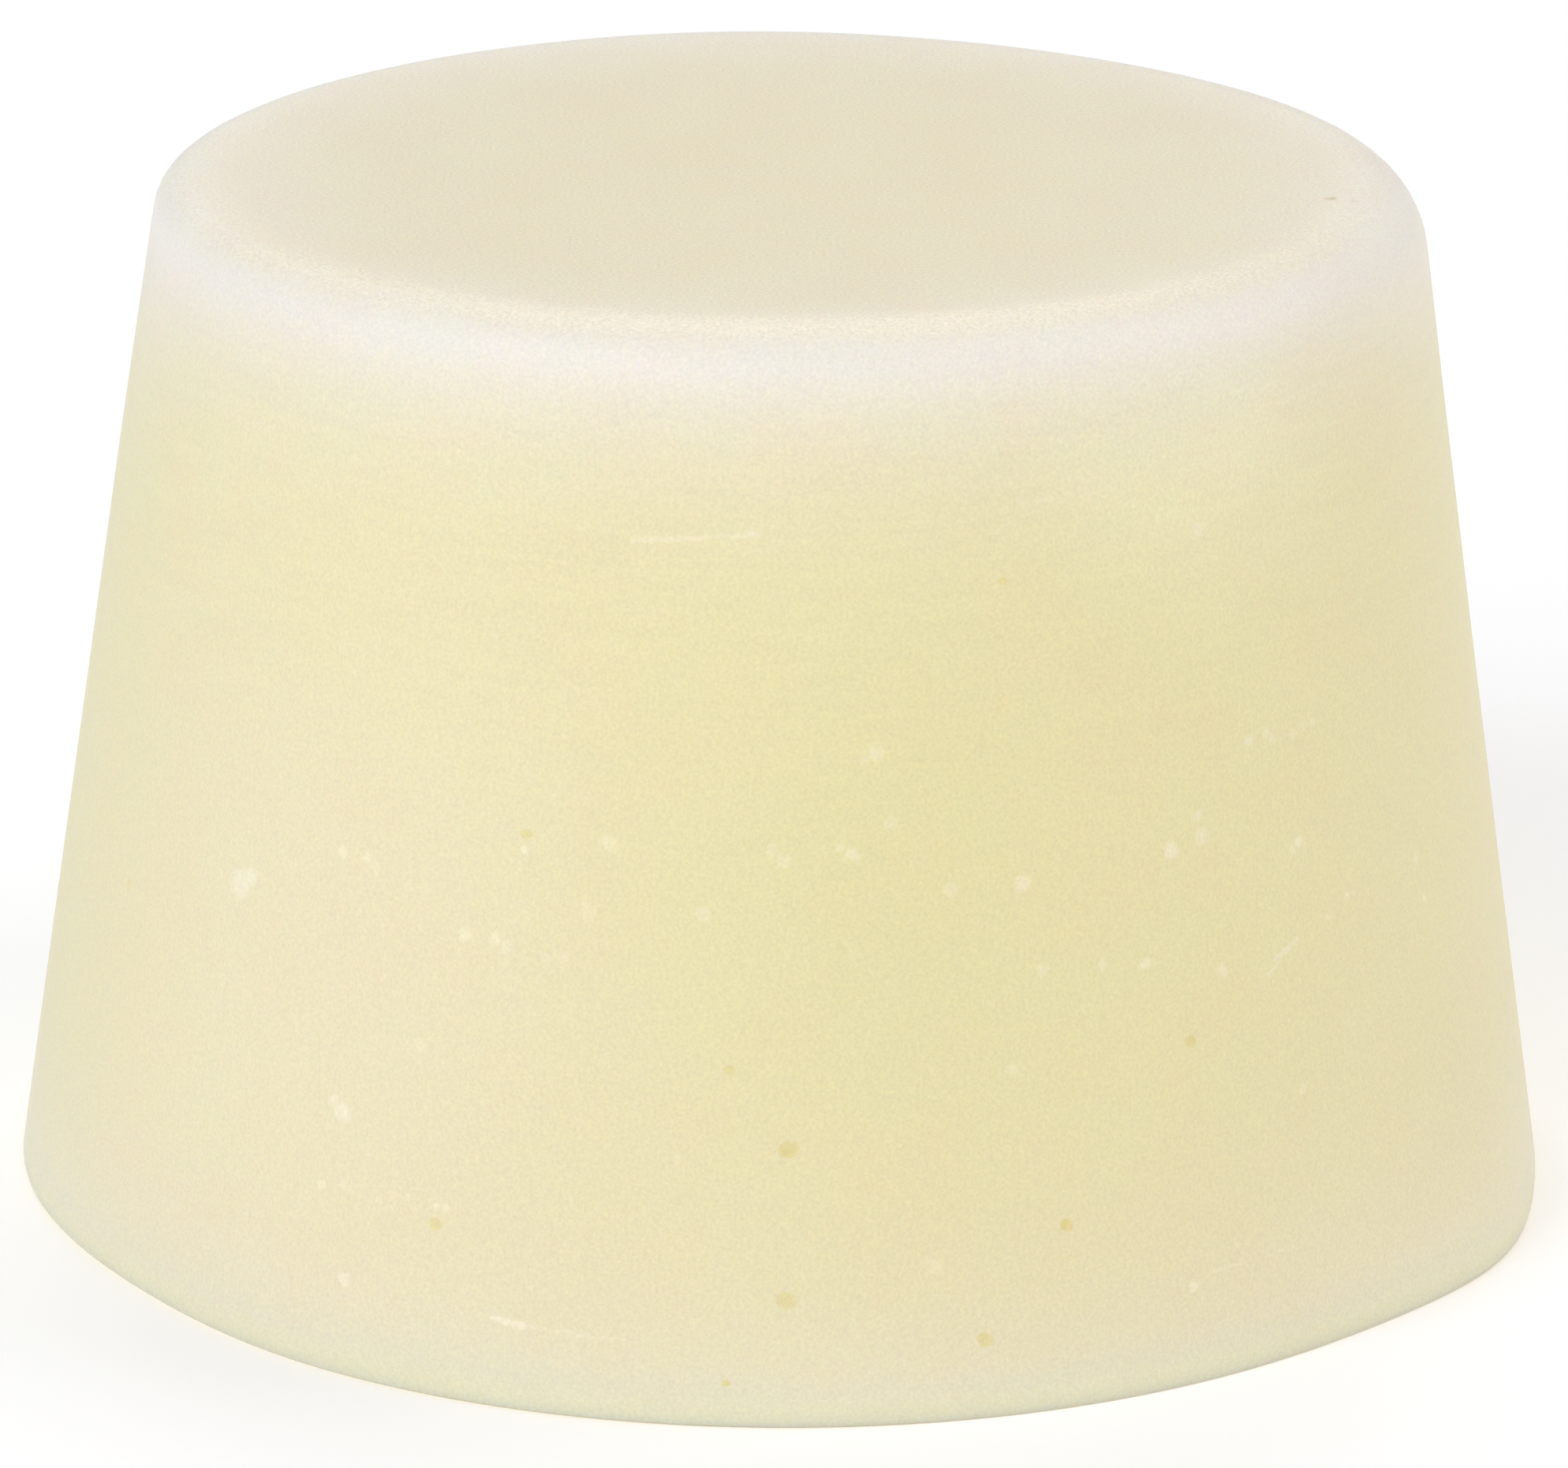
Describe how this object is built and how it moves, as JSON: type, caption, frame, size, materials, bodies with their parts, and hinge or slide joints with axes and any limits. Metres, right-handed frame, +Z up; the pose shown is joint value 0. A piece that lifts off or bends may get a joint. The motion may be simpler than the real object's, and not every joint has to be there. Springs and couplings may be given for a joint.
{
  "type": "shaving soap puck",
  "caption": "Round drafted puck of ivory shaving soap, wider at its foot, with a soft rounded top rim; it is set in a bowl or mug and lathered with a wet brush.",
  "frame": {"origin": "middle of the flat foot, on the surface that the puck stands on", "axes": "+Z up along the puck's axis of revolution, from the wide foot to the smaller top face; X and Y are equal, as the puck is round"},
  "size_m": [0.0608, 0.0608, 0.04],
  "materials": {
    "soap": "waxy, half-matt, slightly translucent cast soap, pale ivory yellow"
  },
  "bodies": {
    "root": {"soap_puck": "soap"}
  },
  "joints": []
}
